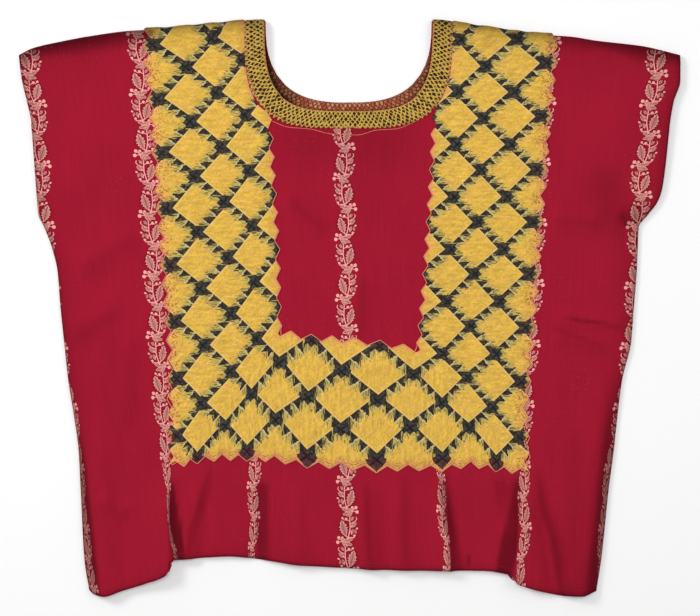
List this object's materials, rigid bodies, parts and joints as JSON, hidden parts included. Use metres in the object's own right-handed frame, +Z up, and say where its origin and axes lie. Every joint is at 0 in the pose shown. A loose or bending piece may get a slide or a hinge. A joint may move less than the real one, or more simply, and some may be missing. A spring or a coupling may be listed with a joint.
{
  "type": "huipil blouse",
  "caption": "Square-cut huipil blouse laid flat: a length of cloth folded at the shoulders, with a wide neck hole, sewn sides and a U-shaped embroidered yoke.",
  "frame": {"origin": "on the surface that the blouse lies on, under the centre of its bounding box", "axes": "+X across the blouse from the wearer's right sleeve to the left one, +Y from the hem to the shoulders, +Z up, out of the front"},
  "size_m": [0.688, 0.6, 0.01],
  "materials": {
    "printed_cotton": "matt plain-weave cotton, crimson with printed pale pink leafy stripes",
    "yellow_thread": "dense chain stitch in golden yellow with a black diamond lattice",
    "band_thread": "yellow thread worked with a fine black crosshatch",
    "band_wrong_side": "wrong side of the worked band, orange-brown crosshatch"
  },
  "bodies": {
    "root": {"body_cloth": "printed_cotton", "yoke_embroidery": "yellow_thread", "neck_band_front": "band_thread", "neck_band_back": "band_wrong_side"}
  },
  "joints": []
}
